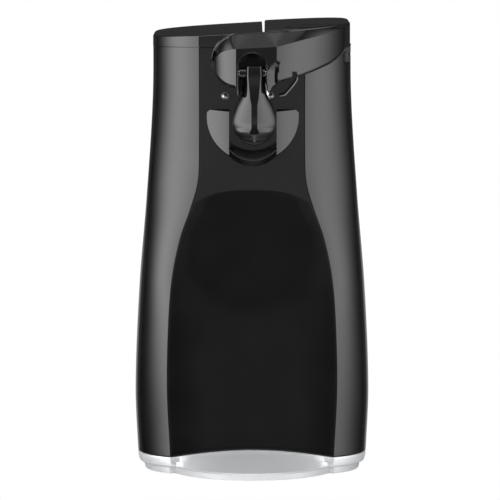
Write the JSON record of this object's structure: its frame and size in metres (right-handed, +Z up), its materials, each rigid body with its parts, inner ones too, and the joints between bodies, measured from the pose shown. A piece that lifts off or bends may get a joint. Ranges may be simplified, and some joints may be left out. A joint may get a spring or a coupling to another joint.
{
  "type": "electric can opener",
  "caption": "Upright kitchen appliance that grips a can rim on a powered drive wheel, cuts the lid with a lever-held cutting wheel and holds the lid on a magnet arm.",
  "frame": {"origin": "on the table, under the middle of the body's bounding box", "axes": "+Z up, -Y towards the user (front with lever and magnet arm), +X to the user's right"},
  "size_m": [0.1246, 0.1172, 0.24],
  "materials": {
    "black_gloss": "polished black ABS",
    "silver_plastic": "satin silver-coloured ABS",
    "black_matte": "matte black plastic",
    "steel": "ground steel",
    "zinc_plate": "zinc-plated steel",
    "nylon": "natural nylon",
    "copper": "enamelled copper wire",
    "rubber": "soft black rubber",
    "bronze": "sintered bronze",
    "magnet": "ferrite",
    "stone": "fine grey abrasive"
  },
  "bodies": {
    "housing": {"front_housing": "black_gloss", "rear_housing": "black_gloss", "top_cap": "black_gloss", "base_shell": "silver_plastic", "base_plate": "black_matte", "power_switch": "black_matte", "sharpener_guide": "black_matte", "lever_pivot_pin": "steel", "guide_pin_left": "steel", "guide_pin_right": "steel", "second_gear_axle": "steel", "first_gear_axle": "steel", "gearbox_post_1": "steel", "gearbox_post_2": "steel", "gearbox_post_3": "steel", "gearbox_post_4": "steel", "stator_core": "steel", "motor_spacer_1": "steel", "motor_spacer_2": "steel", "pivot_retainer": "zinc_plate", "gearbox_front_plate": "zinc_plate", "gearbox_rear_plate": "zinc_plate", "motor_bracket_front": "zinc_plate", "motor_bracket_rear": "zinc_plate", "housing_screw_1": "zinc_plate", "housing_screw_2": "zinc_plate", "housing_screw_3": "zinc_plate", "housing_screw_4": "zinc_plate", "field_coil": "copper", "rubber_foot_1": "rubber", "rubber_foot_2": "rubber", "rubber_foot_3": "rubber", "rubber_foot_4": "rubber", "cord_grommet": "rubber", "drive_bushing": "bronze", "motor_bush_front": "bronze", "motor_bush_rear": "bronze", "sharpening_stone": "stone"},
    "lever": {"piercing_lever": "black_gloss", "magnet_arm_pin": "steel", "cutter_screw": "steel", "can_guide_plate": "steel"},
    "magnet_arm": {"magnet_arm": "black_gloss", "lid_magnet": "magnet"},
    "cutter": {"cutter_wheel": "steel"},
    "drive": {"drive_shaft": "steel", "drive_wheel": "steel", "drive_wheel_nut": "zinc_plate", "output_gear": "nylon"},
    "second_gear": {"second_gear": "nylon"},
    "first_gear": {"first_gear": "nylon"},
    "rotor": {"rotor": "steel", "motor_pinion": "steel", "cooling_fan": "nylon"},
    "switch_plunger": {"switch_plunger": "nylon"}
  },
  "joints": [
    {"name": "lever_lift", "type": "hinge", "parent": "housing", "child": "lever", "pos_m": [-0.009, -0.048, 0.219], "axis": [0, -1, 0], "range_deg": [0, 35]},
    {"name": "magnet_arm_swing", "type": "hinge", "parent": "lever", "child": "magnet_arm", "pos_m": [0.0012, -0.053, 0.213], "axis": [-1, 0, 0], "range_deg": [0, 95]},
    {"name": "cutter_spin", "type": "hinge", "parent": "lever", "child": "cutter", "pos_m": [0.002, -0.047, 0.2042], "axis": [0, 1, 0], "continuous": true},
    {"name": "rotor_spin", "type": "hinge", "parent": "housing", "child": "rotor", "pos_m": [0.00013, 0.02, 0.13174], "axis": [0, 1, 0], "continuous": true},
    {"name": "first_gear_spin", "type": "hinge", "parent": "housing", "child": "first_gear", "pos_m": [-0.00371, -0.008, 0.15355], "axis": [0, 1, 0], "continuous": true},
    {"name": "second_gear_spin", "type": "hinge", "parent": "housing", "child": "second_gear", "pos_m": [0.01477, -0.012, 0.16749], "axis": [0, 1, 0], "continuous": true},
    {"name": "drive_spin", "type": "hinge", "parent": "housing", "child": "drive", "pos_m": [0.0012, -0.016, 0.191], "axis": [0, 1, 0], "continuous": true},
    {"name": "switch_press", "type": "slide", "parent": "housing", "child": "switch_plunger", "axis": [0, 0, -1], "range_m": [0, 0.0015], "stiffness_N_per_m": 200}
  ],
  "couplings": [
    {"joint": "first_gear_spin", "follows": "rotor_spin", "ratio": -0.29412},
    {"joint": "second_gear_spin", "follows": "rotor_spin", "ratio": 0.081699},
    {"joint": "drive_spin", "follows": "rotor_spin", "ratio": -0.023343}
  ]
}
